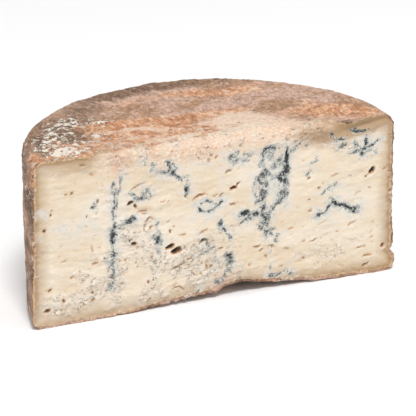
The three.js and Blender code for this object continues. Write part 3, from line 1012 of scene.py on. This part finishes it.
def paste_finish(r):
    """Colour and height of the paste: cream, clouded pale and deep, tan near the rind (its own
    tint, and painted shade under the rind's lip), peach and dusty at its soft edge, a painted
    highlight on ridges and painted shade in hollows, orange in tears and brown where they are
    deepest (partly painted shade), cracked into crumbs with painted shade in the gaps, painted
    tan shade in the groove and hollows under the top edge, and over it the stain, the body, the
    white crumbs and the black specks of the mould."""
    edge, vein, stain, crumbs, cavity = map(r.field, ("edge", "vein", "stain", "crumbs", "cavity"))
    drawn = r.turned((0.4, 1, 1), KNIFE_TILT)
    broad = r.grain(30, 2, place=drawn)
    fine = r.grain(3.6, 4, 0.6, drawn)
    speck = r.grain(1.15, 2, 0.75)
    crystal = r.grain(1, 2, 0.7, r.turned((1, 1, 1), 40))
    r.colour = r.mix(r.ramp(broad, 0.35, 0.65), CREAM, CREAM_DEEP)
    r.paint(r.ramp(fine, 0.42, 0.68, 0, 0.35), CREAM_PALE)
    r.paint(r.times(crumbs, r.ramp(speck, 0.4, 0.65, 0.1, 0.7)), CREAM_PALE)

    wavy = r.plus(edge, r.swing(broad, 10))
    # Tan near the rind: partly the paste's own tint, partly painted shade under the rind's lip.
    near = r.plus(r.ramp(wavy, 15, 2, 0, 0.68), r.ramp(edge, 6, 0.5, 0, 0.5))
    r.paint(r.times(near, r.field("rim_tint_and_shade"), r.ramp(fine, 0.2, 0.7, 1, 0.75)), TAN)
    r.paint(r.times(r.field("blush"), r.ramp(speck, 0.35, 0.6)), BLUSH)
    soft = r.times(r.field("soft"), r.ramp(wavy, 34, 16))
    peach = r.ramp(r.plus(r.grain(13, 5, 0.7), r.swing(fine, 0.5)), 0.42, 0.58)
    r.paint(r.times(soft, peach, 0.42), PEACH)
    dust = r.grain(1.9, 4, 0.8)
    r.paint(r.times(soft, r.ramp(dust, 0.46, 0.34, 0, 0.6)), TAN)
    r.paint(r.times(soft, r.ramp(dust, 0.52, 0.62, 0, 0.7)), CREAM_WHITE)

    # Painted highlight: paler cream on ridges. Painted shade: darker tan in hollows.
    r.paint(r.ramp(cavity, -0.12, -0.5, 0, 0.55), CREAM_PALE)
    r.paint(r.ramp(r.plus(cavity, r.swing(speck, 0.5)), 0.15, 0.6, 0, 0.5), PAINTED_CREVICE_SHADE)
    # Orange inside the tears, and brown where they are deepest. The brown is partly painted shade.
    torn = r.plus(r.field("depth"), r.swing(speck, 1.2))
    r.paint(r.ramp(torn, 0.2, 0.7, 0, 0.75), TEAR_ORANGE)
    r.paint(r.ramp(torn, 0.9, 1.6, 0, 0.85), TEAR_BROWN)

    border, own = r.cells(6.2, r.warped(r.turned((0.7, 1, 1), KNIFE_TILT), 5, 2.4))
    parts = r.times(r.ramp(r.grain(9, 2), 0.48, 0.6), r.ramp(crumbs, 0.15, 0.7))
    r.paint(r.times(parts, r.ramp(own, 0.3, 0.9, 0.1, 0.9)), CREAM_WHITE)
    # Painted shade in the gaps between crumbs, with a brown tint in some of them.
    crumb_gap_shade = r.times(r.ramp(border, 0.075, 0.01), parts, r.ramp(own, 0.3, 0.6), 0.65)
    r.paint(crumb_gap_shade, r.mix(r.ramp(speck, 0.42, 0.58), PAINTED_CREVICE_SHADE, TEAR_BROWN))
    dots = r.grain(2, 3, 0.7, r.turned((0.75, 1, 1), KNIFE_TILT))
    dots = r.plus(dots, r.ramp(crumbs, 0, 0.8, -0.09, 0.03))
    r.paint(r.ramp(dots, 0.63, 0.68, 0, 0.8), TEAR_ORANGE)
    r.paint(r.ramp(dots, 0.68, 0.72, 0, 0.9), TEAR_BROWN)

    r.paint(r.ramp(r.plus(stain, r.swing(r.grain(9, 3), 2.4)), 0.1, 1, 0, 0.75), STAIN_GREY)
    # Painted shade: tan in the groove and the hollows under the top edge.
    r.paint(r.ramp(r.plus(r.field("shade"), r.swing(fine, 1.2)), 0.1, 0.9, 0, 0.8), TAN)
    clump = r.grain(3.6, 3, 0.6)
    body = r.plus(r.scaled(vein, 0.85), r.scaled(stain, 0.42), r.swing(clump, 1.6))
    mould = r.mix(r.ramp(r.plus(vein, r.swing(clump, 0.8)), 0.5, 1), VEIN_PALE, VEIN_GREY)
    r.paint(r.ramp(body, 0.2, 0.8, 0, 0.9), mould)
    inside = r.ramp(vein, 0.08, 0.3)
    r.paint(r.times(r.ramp(crystal, 0.52, 0.6), inside, 0.75), VEIN_WHITE)
    for size, thick in ((3.6, 0.042), (1.9, 0.036)):
        net = r.math("ABSOLUTE", r.swing(r.grain(size, 3, 0.6, distortion=0.6), 1))
        net = r.math("SUBTRACT", r.times(vein, thick), net)
        r.paint(r.times(r.ramp(net, -0.006, 0.008, 0, 0.95), inside), VEIN_BLACK)
    pepper = r.plus(r.scaled(vein, 0.14), r.ramp(vein, 0.6, 1, 0, 0.08), r.grain(1.25, 3, 0.75))
    pepper = r.ramp(r.plus(pepper, r.swing(clump, 0.5)), 0.62, 0.69, 0, 0.95)
    r.paint(r.times(pepper, inside), VEIN_BLACK)
    spores = r.plus(r.grain(1.3, 2, 0.8), r.scaled(stain, 0.1))
    r.paint(r.ramp(spores, 0.72, 0.77, 0, 0.8), VEIN_BLACK)
    r.paint(r.ramp(r.plus(r.field("dark"), r.swing(speck, 1.8)), 0.35, 0.95, 0, 0.95), VEIN_BLACK)

    height = r.plus(r.swing(fine, 0.7), r.swing(speck, 0.3), r.times(crumbs, crystal, 0.9))
    chunk = r.times(r.ramp(border, 0.01, 0.26), parts, r.plus(own, 0.5))
    return r.colour, r.plus(height, chunk, r.ramp(dots, 0.61, 0.7, 0, -0.7))


def rind_finish(r):
    """Colour and height of the rind: wisps of brown and mauve, clouded taupe and rust, worn
    pale in places, finely grained, and flecked white where mould blooms on its wrinkles."""
    long = r.turned((0.75, 0.8, 1))
    broad = r.grain(24, 6, 0.66, long, 0.8)
    wisps = r.grain(8, 5, 0.62, long, 0.7)
    fine = r.grain(3, 4, 0.68, r.turned((1, 0.6, 1)))
    skin = r.grain(1.3, 3, 0.75)
    lumps = r.plus(r.swing(broad, 1.7), r.swing(wisps, 1.2))

    def patch(name, low, high, share=1.0):
        return r.ramp(r.plus(r.field(name), lumps), low, high, 0, share)

    r.colour = r.mix(r.ramp(broad, 0.4, 0.6), RIND_BROWN, RIND_MAUVE)
    r.paint(patch("dull", 0.1, 1), RIND_TAUPE)
    r.paint(patch("mauve", 0.25, 0.75), RIND_MAUVE)
    veined = r.grain(8, 5, 0.68, r.turned((0.8, 0.7, 1)), 1.6)
    orange = r.mix(r.ramp(wisps, 0.4, 0.58), RUST_DEEP, RIND_RUST)
    orange = r.mix(r.ramp(veined, 0.46, 0.38, 0, 0.7), orange, RUST_DARK)
    orange = r.mix(r.ramp(veined, 0.55, 0.62, 0, 0.8), orange, RIND_WORN)
    rusty = patch("rust", 0.2, 0.7)
    r.paint(rusty, orange)
    light = r.plus(r.ramp(fine, 0.34, 0.66, 0.78, 1.18), r.ramp(skin, 0.38, 0.62, -0.2, 0.2))
    coarse = r.grain(4.5, 4, 0.7, r.turned((1, 0.65, 1)))
    r.paint(1.0, r.plus(light, r.ramp(coarse, 0.36, 0.64, -0.16, 0.16)), "MULTIPLY")
    r.paint(r.ramp(r.grain(1.9, 3, 0.8), 0.38, 0.3, 0, 0.5), RIND_DARK)
    flecks = r.ramp(r.plus(fine, r.scaled(wisps, 0.6)), 0.86, 0.96, 0, 0.85)
    r.paint(r.times(flecks, r.scaled(rusty, 0.6, 0.4)), RIND_WORN)
    r.paint(r.ramp(r.plus(fine, r.scaled(skin, 0.3)), 0.5, 0.4, 0, 0.6), RIND_DARK)
    pale = r.mix(r.ramp(r.plus(fine, skin), 0.85, 1.15), RIND_WORN, WORN_PALE)
    r.paint(patch("worn", 0.15, 1.1, 0.95), pale)
    streak = r.grain(4.2, 4, 0.64, r.turned((0.85, 1, 1)))
    bloom = r.plus(r.scaled(r.field("bloom"), 0.26), streak, r.swing(skin, 0.4))
    bloom = r.ramp(bloom, 0.675, 0.72, 0, 0.95)
    r.paint(bloom, WHITE_BLOOM)
    height = r.plus(r.swing(fine, 2.4), r.swing(skin, 0.9), r.swing(wisps, 1.6))
    return r.colour, r.plus(height, r.scaled(bloom, 0.7))


def cheese_finish():
    """Paste where the edge distance is positive and rind where it isn't. The line where they
    meet is ragged. It has a thin tan lip where it is crisp, and is wide, patchy and pale where
    it is soft."""
    r = Recipe("cheese")
    soft = r.field("soft")
    ragged = r.scaled(r.grain(11, 5, 0.62, r.turned((0.7, 1, 1)), 0.5), 0.65, -0.5)
    ragged = r.plus(ragged, r.scaled(r.grain(3.5, 4, 0.7), 0.35))
    line = r.plus(r.field("edge"), r.times(ragged, r.scaled(soft, 72, 5)))
    half = r.scaled(soft, 1.5, 0.3)
    is_paste = r.ramp(line, r.scaled(half, -1), half)

    paste, paste_height = paste_finish(r)
    rind, rind_height = rind_finish(r)
    grain = r.ramp(r.grain(2.2, 4, 0.75), 0.42, 0.6)
    pale = r.times(soft, r.ramp(line, -7, -0.5, 0, 0.6), r.scaled(grain, 0.4, 0.6))
    rind = r.mix(pale, rind, r.mix(grain, PEACH, WORN_PALE))
    crisp = r.times(r.scaled(soft, -1, 1), r.field("rim_tint_and_shade"))
    broken = r.ramp(r.grain(3, 3, 0.6), 0.42, 0.58)
    lip = r.times(r.ramp(line, 1.9, 0.9), crisp, broken, 0.8)
    paste = r.mix(lip, paste, RIND_LIP)

    dull = r.scaled(is_paste, PASTE_ROUGHNESS - RIND_ROUGHNESS, RIND_ROUGHNESS)
    height = r.mix(is_paste, rind_height, paste_height)
    bump = {"Strength": 1.0, "Distance": 1.0 * MM, "Height": height}
    return r.finished({
        "Base Color": r.mix(is_paste, rind, paste),
        "Roughness": r.plus(dull, r.scaled(ragged, 0.25)),
        "Normal": r.add("Bump", bump, "Normal"),
        "IOR": 1.42,
        "Subsurface Weight": 0.08,
        "Subsurface Radius": (1.0, 0.65, 0.4),
        "Subsurface Scale": 2.5 * MM,
    })


# ---- Studio ----

VIEW_AZIMUTH = math.radians(-22.4)
VIEW_ELEVATION = math.radians(21.4)
VIEW_ROLL = math.radians(0.27)
VIEW_DISTANCE = 1619.6 * MM
AIM = Vector((11.5, -25.7, 56.0)) * MM
LENS = 178.2


def make_camera():
    """A long lens, looking at the cut face from the left and from above."""
    a, e = VIEW_AZIMUTH, VIEW_ELEVATION
    back = Vector((math.sin(a) * math.cos(e), -math.cos(a) * math.cos(e), math.sin(e)))
    camera = new_object("camera", bpy.data.cameras.new("camera"))
    camera.data.lens = LENS
    camera.data.clip_end = 100
    camera.location = AIM + back * VIEW_DISTANCE
    camera.rotation_mode = "QUATERNION"
    look = (-back).to_track_quat("-Z", "Y")
    camera.rotation_quaternion = look @ Quaternion((0, 0, 1), -VIEW_ROLL)
    bpy.context.scene.camera = camera


def make_softbox(name, place, size, power):
    """A square area light at place, facing the cheese."""
    lamp = new_object(name, bpy.data.lights.new(name, "AREA"))
    lamp.data.size = size
    lamp.data.energy = power
    lamp.location = place
    aim = Vector((0, 0, HEIGHT / 2 * MM)) - Vector(place)
    lamp.rotation_mode = "QUATERNION"
    lamp.rotation_quaternion = aim.to_track_quat("-Z", "Y")


def make_floor():
    """A wide plain pale floor at the level of the base."""
    half = 8.0
    mesh = bpy.data.meshes.new("floor")
    corners = [(-half, -half, 0), (half, -half, 0), (half, half, 0), (-half, half, 0)]
    mesh.from_pydata(corners, [], [(0, 1, 2, 3)])
    pale = Recipe("floor_paint").finished({"Base Color": (0.9, 0.9, 0.9, 1), "Roughness": 0.7})
    mesh.materials.append(pale)
    new_object("floor", mesh)


def make_studio():
    """Even white surroundings, a large softbox above and to the left, and a weak fill."""
    world = bpy.data.worlds.new("surroundings")
    world.use_nodes = True
    sky = world.node_tree.nodes["Background"].inputs
    sky["Color"].default_value = (1, 1, 1, 1)
    sky["Strength"].default_value = 0.6
    bpy.context.scene.world = world
    bpy.context.scene.view_settings.view_transform = "Standard"
    make_softbox("key", (-0.5, -2.2, 4.2), 1.1, 160)
    make_softbox("fill", (2.4, -2.0, 1.8), 2.0, 12)
    make_floor()
    make_camera()


# ---- The object ----

cheese = make_cheese()
cheese.data.materials.append(cheese_finish())
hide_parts(NODE)
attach(cheese, "root")
make_studio()
